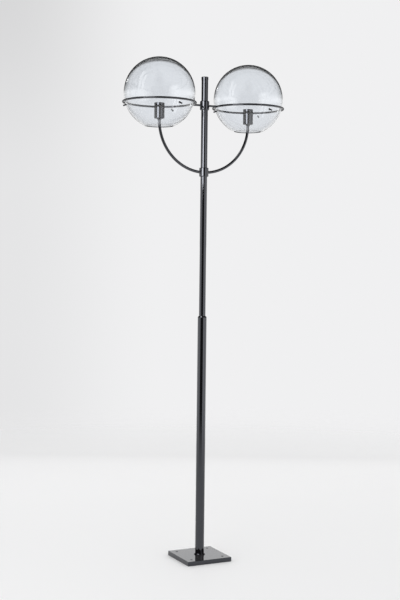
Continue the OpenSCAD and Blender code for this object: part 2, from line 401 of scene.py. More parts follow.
def finish_tree(tree, given, geometry):
    """Makes copies real, sets the material and leads the result out."""
    real = add(tree, "GeometryNodeRealizeInstances", {"Geometry": geometry})
    painted = add(tree, "GeometryNodeSetMaterial",
                  {"Geometry": real.outputs["Geometry"], "Material": given["Material"]})
    add(tree, "NodeGroupOutput", {"Geometry": painted.outputs["Geometry"]})
    return tree


def set_copies(tree, given, points, rotation):
    """Sets a turned copy of the part on each point."""
    part = add(tree, "GeometryNodeObjectInfo", {"Object": given["Part"]})
    copies = add(tree, "GeometryNodeInstanceOnPoints",
                 {"Points": points.outputs["Points"], "Instance": part.outputs["Geometry"],
                  "Rotation": rotation})
    return finish_tree(tree, given, copies.outputs["Instances"])


def rod_tree():
    """Sweeps a round rod or tube along the edges of the mesh it is put on."""
    tree, given = new_tree([("Radius", "Float", 0.005), ("Sides", "Int", 32),
                            ("Caps", "Bool", True)])
    path = add(tree, "GeometryNodeMeshToCurve", {"Mesh": given["Geometry"]})
    profile = add(tree, "GeometryNodeCurvePrimitiveCircle",
                  {"Radius": given["Radius"], "Resolution": given["Sides"]})
    swept = add(tree, "GeometryNodeCurveToMesh",
                {"Curve": path.outputs["Curve"], "Profile Curve": profile.outputs["Curve"],
                 "Fill Caps": given["Caps"]})
    return finish_tree(tree, given, swept.outputs["Mesh"])


def round_tree():
    """Sets copies of a part round an upright axis, each tipped outwards and down."""
    tree, given = new_tree([
        ("Part", "Object", None), ("Count", "Int", 3), ("First turn", "Float", 0.0),
        ("Tip", "Float", 0.0), ("Middle", "Vector", (0.0, 0.0, 0.0))])
    step = maths(tree, "DIVIDE", 2 * pi, given["Count"])
    index = add(tree, "GeometryNodeInputIndex").outputs["Index"]
    turn = maths(tree, "MULTIPLY_ADD", index, step, given["First turn"])
    tilt = maths(tree, "ADD", given["Tip"], pi / 2)
    rotation = add(tree, "ShaderNodeCombineXYZ", {"Y": tilt, "Z": turn})
    points = add(tree, "GeometryNodePoints", {"Count": given["Count"], "Position": given["Middle"]})
    return set_copies(tree, given, points, rotation.outputs["Vector"])


def marks_tree():
    """Sets a turned copy of a part on each point of the mesh it is put on."""
    tree, given = new_tree([("Part", "Object", None), ("Rotation", "Vector", (0.0, 0.0, 0.0))])
    points = add(tree, "GeometryNodeMeshToPoints", {"Mesh": given["Geometry"]})
    return set_copies(tree, given, points, given["Rotation"])


def tree_of(make):
    """The tree that a function makes, made once and named after it."""
    found = bpy.data.node_groups.get(make.__name__)
    if found is None:
        found = make()
        found.name = make.__name__
    return found


def grow(name, make, points, values, closed=False):
    """Runs a tree on a path of points, keeps the plain mesh and removes the pattern."""
    base = bpy.data.meshes.new(name)
    edges = [(i, i + 1) for i in range(len(points) - 1)]
    if closed:
        edges.append((len(points) - 1, 0))
    base.from_pydata(points, edges, [])
    carrier = new_object(name, base)
    modifier = carrier.modifiers.new("Made", "NODES")
    modifier.node_group = tree_of(make)
    for socket in modifier.node_group.interface.items_tree:
        if socket.in_out == "INPUT" and socket.name in values:
            modifier[socket.identifier] = values[socket.name]
    mesh = evaluated_mesh(carrier)
    carrier.modifiers.clear()
    carrier.data = welded(name, mesh)
    bpy.data.meshes.remove(base)
    if "Part" in values:
        drop(values["Part"])
    return carrier


# Materials

def new_material(name):
    made = bpy.data.materials.new(name)
    made.use_nodes = True
    return made, made.node_tree, made.node_tree.nodes["Principled BSDF"]


def material(name, base, roughness, metallic=0.0, ior=1.5, **more):
    """A Principled material, with its even values on the shader's own sockets."""
    made, tree, shader = new_material("finish_" + name)
    feed(tree, shader, {"Base Color": (*base, 1.0), "Roughness": roughness, "Metallic": metallic,
                        "IOR": ior})
    feed(tree, shader, {label.replace("_", " ").title(): more[label] for label in more})
    return made, tree, shader


def noise(tree, scale, detail=2.0, roughness=0.5):
    where = add(tree, "ShaderNodeTexCoord").outputs["Object"]
    return add(tree, "ShaderNodeTexNoise", {"Vector": where, "Scale": scale, "Detail": detail,
                                            "Roughness": roughness}).outputs["Fac"]


def spread(tree, value, low_in, high_in, low_out, high_out, curve="LINEAR"):
    return add(tree, "ShaderNodeMapRange", {
        "Value": value, "From Min": low_in, "From Max": high_in, "To Min": low_out,
        "To Max": high_out}, interpolation_type=curve).outputs["Result"]


def darker(shade, part):
    return tuple(c * part for c in shade)


def blend_colours(tree, factor, one, other):
    """A mix of two colours, each from a socket or even."""
    one, other = (shade if isinstance(shade, bpy.types.NodeSocket) else (*shade, 1.0)
                  for shade in (one, other))
    return add(tree, "ShaderNodeMix", {"Factor": factor, 6: one, 7: other},
               data_type="RGBA").outputs[2]


def two_tone(tree, shader, factor, one, other):
    feed(tree, shader, {"Base Color": blend_colours(tree, factor, one, other)})


def uneven(tree, shader, low_rough, high_rough, *grain):
    """Lets a noise of this scale, detail and roughness vary how rough the surface is."""
    rough = spread(tree, noise(tree, *grain), 0.3, 0.7, low_rough, high_rough)
    feed(tree, shader, {"Roughness": rough})


def relief(tree, shader, height, strength, distance=0.0002):
    bump = add(tree, "ShaderNodeBump", {"Height": height, "Strength": strength, "Distance": distance})
    feed(tree, shader, {"Normal": bump.outputs["Normal"]})


def facing_up(tree):
    """1 on faces that look up, 0 on upright ones."""
    normal = add(tree, "ShaderNodeNewGeometry").outputs["Normal"]
    z = add(tree, "ShaderNodeSeparateXYZ", {"Vector": normal}).outputs["Z"]
    return spread(tree, z, 0.55, 0.95, 0.0, 1.0)


def black_lacquer(colours):
    """Gloss black lacquer: faint orange peel, wiping marks, and dust where it can settle."""
    made, tree, shader = material("black_lacquer", colours.lacquer, 0.06, ior=1.78,
                                  specular_tint=(0.88, 0.91, 1.0, 1.0))
    specks = spread(tree, noise(tree, 900, 2.0), 0.66, 0.72, 0.0, 1.0)
    film = spread(tree, noise(tree, 14, 5.0, 0.7), 0.3, 0.7, 0.06, 0.13)
    settled = maths(tree, "MULTIPLY", facing_up(tree), film)
    dusty = maths(tree, "ADD", settled, maths(tree, "MULTIPLY", specks, 0.02))
    two_tone(tree, shader, dusty, colours.lacquer, colours.dust)
    uneven(tree, shader, 0.035, 0.085, 6, 4.0, 0.6)
    relief(tree, shader, noise(tree, 420, 1.0), 0.05)
    return made


def clear_glass(colours):
    """Clear blown glass with a faint cool tint and slow waves in its surface."""
    made, tree, shader = material("clear_glass", colours.glass, 0.0, transmission_weight=1.0)
    relief(tree, shader, noise(tree, 9, 1.0), 0.10, 0.004)
    return made


def brass_strip(colours):
    """Rolled brass, a little tarnished."""
    made, tree, shader = material("brass_strip", colours.brass, 0.22, metallic=1.0)
    tarnish = spread(tree, noise(tree, 160, 5.0, 0.6), 0.4, 0.7, 0.0, 0.6)
    two_tone(tree, shader, tarnish, colours.brass, darker(colours.brass, 0.72))
    uneven(tree, shader, 0.16, 0.32, 500, 3.0)
    return made


def plain_steel(colours):
    """Turned steel with a fine grain."""
    made, tree, shader = material("plain_steel", colours.steel, 0.3, metallic=1.0)
    uneven(tree, shader, 0.22, 0.40, 700, 3.0)
    relief(tree, shader, noise(tree, 1400, 2.0), 0.06, 0.0001)
    return made


def porcelain(colours):
    """Glazed porcelain, warmer in places."""
    made, tree, shader = material("porcelain", colours.porcelain, 0.12, coat_weight=0.6,
                                  coat_roughness=0.04)
    clay = colours.porcelain
    two_tone(tree, shader, noise(tree, 90, 4.0), clay, (clay[0], clay[1] * 0.97, clay[2] * 0.92))
    relief(tree, shader, noise(tree, 260, 2.0), 0.08)
    return made


def soft_pad(colours):
    """Clear soft plastic with a dull skin."""
    made, tree, shader = material("soft_pad", colours.pad, 0.35, ior=1.41, transmission_weight=0.8)
    uneven(tree, shader, 0.28, 0.42, 600, 2.0)
    return made


def matt_black(name, rubber, low_rough, high_rough, grain):
    """Rubber or soft sheath: dull, with a fine grain."""
    made, tree, shader = material(name, rubber, 0.6)
    two_tone(tree, shader, noise(tree, grain / 4, 3.0), rubber, darker(rubber, 1.6))
    uneven(tree, shader, low_rough, high_rough, grain / 2, 3.0)
    relief(tree, shader, noise(tree, grain, 2.0), 0.15)
    return made


def soft_washer(colours):
    return matt_black("soft_washer", colours.rubber, 0.5, 0.7, 1200)


def cable_sheath(colours):
    return matt_black("cable_sheath", colours.rubber, 0.35, 0.5, 800)


def moulded_block(colours):
    """Moulded plastic with a grained skin."""
    made, tree, shader = material("moulded_block", colours.block, 0.5)
    two_tone(tree, shader, noise(tree, 220, 3.0), colours.block, darker(colours.block, 0.92))
    relief(tree, shader, noise(tree, 1500, 2.0), 0.2)
    return made


FINISHES = {make.__name__: make for make in (
    black_lacquer, clear_glass, brass_strip, plain_steel, porcelain, soft_pad, soft_washer,
    cable_sheath, moulded_block)}


def finish(slot):
    """The material of a slot, made once."""
    found = bpy.data.materials.get("finish_" + slot)
    return found or FINISHES[slot](bpy.context.scene.lamp_colours)


# Handing pieces to the frame

def settle(thing, body, slot, node):
    """Paints a piece, checks that it stands where its node does, and hands it to its body."""
    thing.data.materials.clear()
    thing.data.materials.append(finish(slot))
    lo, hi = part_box(node)
    for axis in range(3):
        places = [v.co[axis] for v in thing.data.vertices]
        gaps = (min(places) - lo[axis], max(places) - hi[axis])
        if max(abs(gap) for gap in gaps) > SEAT_TOLERANCE:
            raise ValueError(f"{thing.name} isn't where {node} is: {gaps} on axis {axis}")
    if slot != "clear_glass":
        even = thing.modifiers.new("Even normals", "WEIGHTED_NORMAL")
        even.keep_sharp = True
    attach(thing, body)
    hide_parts(node)


def turned(node, corners, x=0.0, arc=5, body="head", slot="black_lacquer"):
    """A turned piece that stands for a node, from the corners of its half section."""
    settle(spin("lamp_" + node, rounded(corners, arc), (x, 0.0, 0.0)), body, slot, node)


def rod(node, path, radius, slot="black_lacquer", sides=40, caps=True, closed=False, wall=0.0):
    """A straight or bent rod or tube of the head that stands for a node."""
    thing = grow("lamp_" + node, rod_tree, path, {
        "Radius": radius, "Sides": sides, "Caps": caps, "Material": finish(slot)}, closed)
    if wall:
        walled(thing, wall, -1.0)
    settle(thing, "head", slot, node)


def copied(node, body, slot, make, places, values):
    """Copies of a pattern that stand for a node."""
    thing = grow("lamp_" + node, make, places, {**values, "Material": finish(slot)})
    settle(thing, body, slot, node)


def paint(node, slot):
    """Gives a CAD node that stays its finish."""
    for place in frame["nodes"][node].material_slots:
        place.material = finish(slot)


# Foot and poles

class LAMP_OT_base_plate(Operator):
    """Square steel plate with four bolt holes and a cable hole"""
    bl_idname = "lamp.base_plate"
    bl_label = "Base plate"

    def execute(self, context):
        sizes = context.scene.lamp_sizes
        lo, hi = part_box("base_plate")
        c = sizes.plate_corner
        outline = rounded([(lo.x, lo.y, c), (hi.x, lo.y, c), (hi.x, hi.y, c), (lo.x, hi.y, c)])
        bolts = mount("floor_bolts")
        x, y, r = (bolts["spacing_x_mm"] / 2000, bolts["spacing_y_mm"] / 2000,
                   bolts["hole_r_mm"] / 1000)
        holes = [ring_of(40, r, 0.0, (a * x, b * y)) for a in (-1, 1) for b in (-1, 1)]
        holes.append(ring_of(56, mount("cable_entry")["r_mm"] / 1000, 0.0))
        plate = slab("lamp_base_plate", outline, holes, lo.z, hi.z, sizes.plate_edge)
        settle(plate, "base", "black_lacquer", "base_plate")
        return {"FINISHED"}


class LAMP_OT_lower_pole(Operator):
    """Thick tube, the ring round its foot, and the turned reducer in its top"""
    bl_idname = "lamp.lower_pole"
    bl_label = "Lower pole"

    def execute(self, context):
        sizes = context.scene.lamp_sizes
        lo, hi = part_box("foot_ring")
        shoulder_z = lo.z + 0.6 * (hi.z - lo.z)
        top_r = LOWER_R + 0.52 * (hi.x - LOWER_R)
        turned("foot_ring", [
            (LOWER_R, lo.z), (hi.x, lo.z, 0.0004), (hi.x, shoulder_z, 0.0010),
            (top_r, hi.z, 0.0008), (LOWER_R, hi.z)], body="base")
        lo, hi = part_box("lower_pole")
        inner = LOWER_R - sizes.lower_wall
        turned("lower_pole", [(inner, lo.z), (LOWER_R, lo.z), (LOWER_R, hi.z, 0.0004),
                              (inner, hi.z)], body="base")
        seat = hi.z
        lo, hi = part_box("pole_reducer")
        bore = TUBE_R - sizes.upper_wall
        step_z = low("upper_pole").z - STEP_GAP
        shoulder_z = seat + 0.22 * (hi.z - seat)
        top_r = TUBE_R + 0.0012
        turned("pole_reducer", [
            (bore, lo.z), (inner - FIT, lo.z), (inner - FIT, seat), (LOWER_R, seat, 0.0003),
            (LOWER_R, shoulder_z, 0.0014), (top_r, hi.z, 0.0006), (TUBE_R + FIT, hi.z),
            (TUBE_R + FIT, step_z), (bore, step_z)], body="base")
        return {"FINISHED"}


class LAMP_OT_upper_pole(Operator):
    """Thin tube and its cap"""
    bl_idname = "lamp.upper_pole"
    bl_label = "Upper pole"

    def execute(self, context):
        lo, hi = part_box("upper_pole")
        inner = TUBE_R - context.scene.lamp_sizes.upper_wall
        turned("upper_pole", [(inner, lo.z), (TUBE_R, lo.z), (TUBE_R, hi.z), (inner, hi.z)])
        roof = hi.z
        lo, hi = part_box("pole_cap")
        turned("pole_cap", [
            (0.0, roof), (TUBE_R + FIT, roof), (TUBE_R + FIT, lo.z), (hi.x, lo.z, 0.0004),
            (hi.x, hi.z, 0.0018), (0.0, hi.z)])
        return {"FINISHED"}


class LAMP_OT_collars(Operator):
    """The two collars that hold the arms and the ring rods"""
    bl_idname = "lamp.collars"
    bl_label = "Collars"

    def execute(self, context):
        edge = context.scene.lamp_sizes.collar_edge
        for node in ("lower_collar", "upper_collar"):
            lo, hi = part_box(node)
            turned(node, [(TUBE_R, lo.z), (hi.x, lo.z, edge), (hi.x, hi.z, edge),
                          (TUBE_R, hi.z)], arc=8)
        return {"FINISHED"}


def hexagon(theta, apothem):
    """Distance from the middle of a hexagon to its side, in the direction theta."""
    return apothem / cos((theta + pi / 6) % (pi / 3) - pi / 6)


def set_screw(radius, tip, head):
    """A set screw along +Z with a cup point below and a hexagon socket above."""
    cup, bevel, socket = radius * 0.45, radius * 0.2, radius * 17 / 30
    socket_end, drilled_end = head - 0.0026, head - 0.0032
    centre_r = TINY * 10  # closes the ends; wide enough that no points are welded

    def side(theta):
        return hexagon(theta, socket)

    return skin("pattern", [ring_of(48, r, z) for r, z in (
        (centre_r, tip + cup / 2), (cup, tip), (radius - bevel, tip), (radius, tip + bevel),
        (radius, head - bevel), (radius - bevel, head), (socket * 1.22, head),
        (side, head - 0.0003), (side, socket_end), (centre_r, drilled_end))], closed=True)


def nut_piece(apothem, hole_r, bottom, top):
    """A hexagon nut whose corners are bevelled by a cone at both ends."""
    face_r = 1.035 * apothem
    lead = min(0.0004, hole_r * 0.12)

    def outer(theta):
        return hexagon(theta, apothem)

    def end(theta):
        return min(outer(theta), face_r)

    def bevel(theta):
        return (outer(theta) - end(theta)) * 0.55

    return skin("pattern", [ring_of(48, r, z) for r, z in (
        (hole_r, bottom + lead), (hole_r + lead, bottom), (end, bottom),
        (outer, lambda theta: bottom + bevel(theta)), (outer, lambda theta: top - bevel(theta)),
        (end, top), (hole_r + lead, top), (hole_r, top - lead))], closed=True, angle=25)


class LAMP_OT_set_screws(Operator):
    """Set screws in the reducer and the collars, at the back of the pole"""
    bl_idname = "lamp.set_screws"
    bl_label = "Set screws"

    def execute(self, context):
        rows = (("reducer_screw", "base", (middle_of("reducer_screw").z,)),
                ("collar_screws", "head", (middle_of("lower_collar").z, RING_Z)))
        for node, body, heights in rows:
            lo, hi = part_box(node)
            copied(node, body, "plain_steel", marks_tree, [(0, 0, z) for z in heights], {
                "Part": set_screw((hi.x - lo.x) / 2, lo.y, hi.y),
                "Rotation": (-pi / 2, 0.0, 0.0)})
        return {"FINISHED"}


# Rings and arms

class LAMP_OT_rings(Operator):
    """The two rod rings, the rods that carry them, and their soft pads"""
    bl_idname = "lamp.rings"
    bl_label = "Rings"

    def execute(self, context):
        drop_z = GLOBE_Z - RING_Z
        slope_r = sqrt(RING_R ** 2 + drop_z ** 2)
        top, bottom = slope_r - ROD_R - ROD_GAP, GLOBE_R + GLASS_GAP
        for side in SIDES:
            x = middle_of("ring_" + side).x
            rod("ring_" + side, ring_of(180, RING_R, RING_Z, (x, 0.0)), ROD_R, caps=False,
                closed=True)
            lo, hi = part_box("ring_rod_" + side)
            rod("ring_rod_" + side, [(lo.x, 0, RING_Z), (hi.x, 0, RING_Z)], ROD_R)
            pad = spin("pattern", rounded([
                (0.0, bottom), (PAD_R - 0.001, bottom, 0.0008), (PAD_R, top - 0.0008, 0.0006),
                (PAD_R, top), (0.0, top)], 4), steps=32)
            copied("ring_pads_" + side, "head", "soft_pad", round_tree, [(0, 0, 0)], {
                "Part": pad, "Count": PAD_COUNT, "First turn": context.scene.lamp_sizes.first_pad,
                "Tip": asin(drop_z / slope_r), "Middle": (x, 0.0, GLOBE_Z)})
        return {"FINISHED"}


def arm_path(sign, inner_x, top_z, bend_z, steps=72):
    """The middle line of an arm: a quarter circle from the pole out, then straight up."""
    last = acos(inner_x / GLOBE_X)
    arc = [(sign * GLOBE_X * cos(last * k / steps), 0.0, bend_z - GLOBE_X * sin(last * k / steps))
           for k in range(steps, -1, -1)]
    return arc + [(sign * GLOBE_X, 0.0, top_z)]


class LAMP_OT_arms(Operator):
    """The two bent tubes and the cables inside them"""
    bl_idname = "lamp.arms"
    bl_label = "Arms"

    def execute(self, context):
        sizes = context.scene.lamp_sizes
        bend_z = low("cone_nut_right").z + sizes.bend_rise
        for side, sign in zip(SIDES, (-1, 1)):
            path = arm_path(sign, TUBE_R + ARM_GAP, high("arm_" + side).z, bend_z)
            rod("arm_" + side, path, ARM_R, caps=False, wall=sizes.arm_wall)
            lo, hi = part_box("cable_" + side)
            inner_x = abs(hi.x if sign < 0 else lo.x)
            rod("cable_" + side, arm_path(sign, inner_x, hi.z, bend_z), (hi.y - lo.y) / 2,
                "cable_sheath", 24)
        return {"FINISHED"}


# Lampholders

def rolled_thread(name, x, radius, sizes, bottom, top, steps=96):
    """A thin sheet whose radius follows a rolled thread."""
    pitch, depth = sizes.thread_pitch, sizes.thread_depth
    rows = round((top - bottom) / pitch * 12)
    loops = []
    for i in range(rows + 1):
        z = bottom + (top - bottom) * i / rows
        ease = min(1.0, (z - bottom) / pitch, (top - z) / pitch)
        phase = 2 * pi * (z - bottom) / pitch
        loops.append(ring_of(steps, lambda t: radius - depth * ease * (0.5 + 0.5 * cos(phase - t)),
                             z, (x, 0.0)))
    return skin(name, loops, angle=60)


class LAMP_OT_lampholders(Operator):
    """Cone nut, cup, lock nut, insulator, screw shell and contact of each lampholder"""
    bl_idname = "lamp.lampholders"
    bl_label = "Lampholders"

    def execute(self, context):
        sizes = context.scene.lamp_sizes
        for side in SIDES:
            x = middle_of("holder_cup_" + side).x
            self.nut_and_cup(side, x, sizes)
            self.inside(side, x, sizes)
            self.contact(side, x)
        return {"FINISHED"}

    def nut_and_cup(self, side, x, sizes):
        lo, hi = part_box("cone_nut_" + side)
        wide = (hi.x - lo.x) / 2
        turned("cone_nut_" + side, [
            (ARM_R, lo.z), (ARM_R + 0.0008, lo.z, 0.0003), (wide, hi.z - 0.0012, 0.0008),
            (wide, hi.z), (ARM_R, hi.z)], x)
        lo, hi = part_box("holder_cup_" + side)
        wall = sizes.cup_wall
        turned("holder_cup_" + side, [
            (ARM_R, lo.z), (CUP_R, lo.z, sizes.cup_edge), (CUP_R, hi.z, wall * 0.45),
            (CUP_R - wall, hi.z, wall * 0.45), (CUP_R - wall, lo.z + wall, 0.001),
            (ARM_R, lo.z + wall)], x, 8)
        lo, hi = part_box("holder_lock_" + side)
        copied("holder_lock_" + side, "head", "plain_steel", marks_tree, [(x, 0.0, 0.0)],
               {"Part": nut_piece((hi.y - lo.y) / 2, ARM_R, lo.z, hi.z)})

    def inside(self, side, x, sizes):
        lo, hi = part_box("insulator_" + side)
        shell_lo, shell_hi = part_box("screw_shell_" + side)
        chamber_z = low("centre_contact_" + side).z
        lip, dish = hi.z - 0.0006, hi.z - 0.0016
        turned("insulator_" + side, [
            (0.0, lo.z), (PORCELAIN_R, lo.z, 0.001), (PORCELAIN_R, hi.z, 0.0022),
            (PORCELAIN_R - 0.0035, hi.z - 0.0002, 0.0010), (PORCELAIN_R - 0.0045, dish, 0.0008),
            (SHELL_R + 0.0022, dish, 0.0006), (SHELL_R + 0.0016, lip, 0.0005),
            (SHELL_R, lip, 0.0004), (SHELL_R, shell_lo.z, 0.0004),
            (CHAMBER_R, shell_lo.z, 0.0004), (CHAMBER_R, chamber_z, 0.0004),
            (0.0, chamber_z)], x, 4, slot="porcelain")
        sheet_r = mount(side + "_socket")["r_mm"] / 1000
        shell = rolled_thread("lamp_screw_shell_" + side, x, sheet_r, sizes, shell_lo.z, shell_hi.z)
        walled(shell, SHELL_R - sheet_r, 1.0)
        settle(shell, "head", "brass_strip", "screw_shell_" + side)

    def contact(self, side, x):
        """A round foot with a raised spring tongue."""
        node = "centre_contact_" + side
        lo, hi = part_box(node)
        foot_r, foot_top = (hi.x - lo.x) / 2, lo.z + 0.0012
        foot = spin("foot", rounded([
            (0.0, lo.z), (foot_r, lo.z, 0.0003), (foot_r, foot_top, 0.0004),
            (0.0, foot_top)], 3), (x, 0.0, 0.0), 48)
        reach, arch, half, thick = 0.011, 0.013, 0.0024, 0.0004
        root = lo.z + 0.0010
        steps = 24
        loops = []
        for k in range(steps + 1):
            out = reach * (k / steps - 0.5)
            z = root + (hi.z - root - thick) * cos(pi * out / arch) ** 2
            loops.append([(x + out, -half, z), (x + out, half, z),
                          (x + out, half, z + thick), (x + out, -half, z + thick)])
        tongue = skin("tongue", loops, caps=True)
        settle(merged("lamp_" + node, [foot, tongue]), "head", "brass_strip", node)


# Globes

def globe_outline(wall, steps=88):
    """The half section of a globe: outer arc, rounded mouth edge, inner arc."""
    inner_r, tip_r = GLOBE_R - wall, GLOBE_R - wall / 2
    end = asin(MOUTH_R / GLOBE_R)
    arc = [end + (pi - end) * k / steps for k in range(steps + 1)]
    outline = [(GLOBE_R * sin(turn), -GLOBE_R * cos(turn)) for turn in reversed(arc)]
    outline[0] = (0.0, GLOBE_R)
    lip_steps, lip_tuck, lip_bulge = 6, 0.02, 0.45
    for k in range(1, lip_steps):
        turn = pi * k / lip_steps
        r = tip_r + wall / 2 * cos(turn)
        a = end - wall * lip_tuck - wall / 2 * sin(turn) * lip_bulge / tip_r
        outline.append((r * sin(a), -r * cos(a)))
    outline += [(inner_r * sin(turn), -inner_r * cos(turn)) for turn in arc]
    outline[-1] = (0.0, inner_r)
    return outline


def globe_middle(side):
    return Vector((middle_of("globe_" + side).x, 0.0, GLOBE_Z))


def pin_places(sizes, middle):
    """Inputs that set copies at the pins of a globe."""
    return {"Count": sizes.pins, "First turn": sizes.first_pin,
            "Tip": asin(sizes.pin_drop / GLOBE_R), "Middle": middle}


class LAMP_OT_globes(Operator):
    """The two clear glass globes, with their mouths and pin holes"""
    bl_idname = "lamp.globes"
    bl_label = "Globes"

    def execute(self, context):
        sizes = context.scene.lamp_sizes
        for side in SIDES:
            middle = globe_middle(side)
            globe = spin("lamp_globe_" + side, globe_outline(sizes.glass_wall), middle, 176)
            self.drill(globe, middle, sizes)
            self.true_normals(globe.data, middle, sizes.glass_wall)
            settle(globe, side + "_globe", "clear_glass", "globe_" + side)
            # In the gloss of the poles the globes would only show as specks.
            globe.visible_glossy = False
        return {"FINISHED"}

    def drill(self, globe, middle, sizes):
        """Cuts the pin holes."""
        start, end, r = GLOBE_R - 0.012, GLOBE_R + 0.008, sizes.pin_hole_r
        drill = spin("drill", [(0.0, start), (r, start), (r, end), (0.0, end)], steps=32)
        drills = grow("drills", round_tree, [(0, 0, 0)],
                      {"Part": drill, **pin_places(sizes, middle)})
        cut = globe.modifiers.new("Holes", "BOOLEAN")
        cut.object = drills
        cut.operation = "DIFFERENCE"
        cut.solver = "EXACT"
        mesh = evaluated_mesh(globe)
        globe.modifiers.clear()
        old = globe.data
        globe.data = mesh
        bpy.data.meshes.remove(old)
        drop(drills)

    def true_normals(self, mesh, middle, wall):
        """Gives the glass the normals of true spheres, so that the holes don't bend them."""
        normals = [Vector((0.0, 0.0, 0.0))] * len(mesh.loops)
        slack = 0.0002
        for face in mesh.polygons:
            away = [(mesh.vertices[i].co - middle) for i in face.vertices]
            outer = all(abs(v.length - GLOBE_R) < slack for v in away)
            inner = all(abs(v.length - GLOBE_R + wall) < slack for v in away)
            if outer or inner:
                for loop, v in zip(face.loop_indices, away):
                    normals[loop] = v.normalized() if outer else -v.normalized()
        mesh.normals_split_custom_set(normals)


class LAMP_OT_pins(Operator):
    """Pins, washers and nuts through the glass of each globe"""
    bl_idname = "lamp.pins"
    bl_label = "Pins"

    def execute(self, context):
        sizes = context.scene.lamp_sizes
        inner = GLOBE_R - sizes.glass_wall
        stud_end = inner - WASHER_T - NUT_T
        for side in SIDES:
            middle = globe_middle(side)
            for node, slot, part in (
                    ("pins_", "black_lacquer", self.pin(inner, stud_end)),
                    ("pin_washers_", "soft_washer", self.washers(inner)),
                    ("pin_nuts_", "plain_steel",
                     nut_piece(NUT_APOTHEM, STUD_R, stud_end, inner - WASHER_T))):
                copied(node + side, side + "_globe", slot, round_tree, [(0, 0, 0)],
                       {"Part": part, **pin_places(sizes, middle)})
        return {"FINISHED"}

    def pin(self, inner, stud_end):
        """A round black head outside the glass, and a threaded stud through it."""
        seat, tip = GLOBE_R + WASHER_T, GLOBE_R + PIN_LENGTH
        turns, root_r, end_r, thread_top = 9, 0.0021, 0.0019, inner - 0.0005
        outline = [(0.0, stud_end), (end_r, stud_end)]
        pitch = (thread_top - stud_end) / turns
        for k in range(turns):
            outline += [(root_r, stud_end + pitch * (k + 0.1)), (STUD_R, stud_end + pitch * (k + 0.6))]
        head = rounded([(PIN_R, seat, 0.0003), (PIN_R, tip, 0.0009), (0.0, tip)])
        return spin("pattern", [*outline, (STUD_R, seat), *head], steps=40)

    def washers(self, inner):
        """A soft washer on each face of the glass, shaped to it."""

        def on(sphere_r, r):
            return (r, sqrt(sphere_r ** 2 - r ** 2))

        hole = STUD_R + FIT
        wide, top = OUTER_WASHER_R, GLOBE_R + WASHER_T
        outer = spin("outer", rounded([
            on(GLOBE_R, hole), on(GLOBE_R, wide), (wide, top, 0.0003), (hole, top)], 3), steps=40)
        wide, bottom = INNER_WASHER_R, inner - WASHER_T
        inside = spin("inside", rounded([
            (hole, bottom), (wide, bottom, 0.0003), on(inner, wide), on(inner, hole)], 3), steps=40)
        return merged("pattern", [outer, inside])


class LAMP_OT_wiring(Operator):
    """Finish of the terminal block and its screws, which stay as the frame has them"""
    bl_idname = "lamp.wiring"
    bl_label = "Wiring"

    def execute(self, context):
        paint("terminal_block", "moulded_block")
        paint("terminal_screws", "plain_steel")
        return {"FINISHED"}


# Studio

CAMERA_PLACE = Vector((-2.524025, -5.134676, 1.515188))
CAMERA_RIGHT = Vector((0.898479, -0.438867, 0.011444))
CAMERA_UP = Vector((0.005767, 0.037865, 0.999266))
CAMERA_AHEAD = Vector((0.438978, 0.897754, -0.036552))
TO_CAMERA = Vector((-0.439, -0.898, 0.0))
TO_RIGHT = Vector((0.898, -0.439, 0.0))

# What stands round the lamp in reflections. Turns are in degrees from the camera's side to the
# right, followed by the half width that shows in full and the one where all of it is gone.
# Heights are sines of the elevation: where something starts to show, and where it shows in full.
# The last number of a side panel is the part of its brightness that is left above PANEL_FADE.
SIDE_PANELS = ((-85, 36, 50, 0.12), (85, 45, 62, 0.35))
PANEL_FADE = (0.05, 0.15)
CEILING = (0.165, 0.25)
CEILING_IN_GLASS = (0.197, 0.22)
UNLIT_END = (-8, 25, 41)
FILL_BOX = (47, 8, 16, (-0.30, -0.10), (0.30, 0.20))
RIM_WINDOW = (-144, 1, 4, (0.27, 0.29), (0.35, 0.32))

# The backdrop is darker on the left: up to where, as a sine of the direction to the right;
# between which heights its shade changes; and the parts of the brightness left below and above
LEFT_EDGE = (-0.17, -0.03)
LEFT_HEIGHTS = (0.05, 0.24)
LEFT_SHADES = (0.90, 0.78)


def direction(turn):
    """A level direction from the lamp; turn is counted from the camera's side to the right."""
    return TO_CAMERA * cos(radians(turn)) + TO_RIGHT * sin(radians(turn))


def area_light(name, turn, distance, height, size, aim_z, brightness, rays, pieces=(),
               state="EXCLUDE"):
    """A rectangular light for one kind of ray, which leaves out or only lights some pieces."""
    data = bpy.data.lights.new(name, "AREA")
    data.shape = "RECTANGLE"
    data.size, data.size_y = size
    data.energy = brightness * pi * size[0] * size[1]
    lamp = bpy.data.objects.new(name, data)
    lamp.location = direction(turn) * distance + Vector((0, 0, height))
    aim = Vector((0, 0, aim_z)) - lamp.location
    lamp.rotation_euler = aim.to_track_quat("-Z", "Y").to_euler()
    for kind in ("camera", "diffuse", "glossy", "transmission"):
        setattr(lamp, "visible_" + kind, kind == rays)
    bpy.context.scene.collection.objects.link(lamp)
    if pieces:
        linked = bpy.data.collections.new(name + "_pieces")
        for piece in pieces:
            linked.objects.link(bpy.data.objects[piece])
        for entry in linked.collection_objects:
            entry.light_linking.link_state = state
        lamp.light_linking.receiver_collection = linked


def grey(brightness):
    return (brightness,) * 3


def ramp(tree, value, start, end):
    """Rises smoothly from 0 at start to 1 at end; falls where start is the larger."""
    return spread(tree, value, min(start, end), max(start, end), float(start > end),
                  float(start < end), "SMOOTHSTEP")


def along(tree, way, axis):
    """How far a direction goes along an axis."""
    return vector_maths(tree, "DOT_PRODUCT", "Value", way, tuple(axis))


def sector(tree, level, turn, inner, outer):
    """1 within inner degrees of a direction, 0 beyond outer degrees."""
    return ramp(tree, along(tree, level, direction(turn)), cos(radians(outer)), cos(radians(inner)))


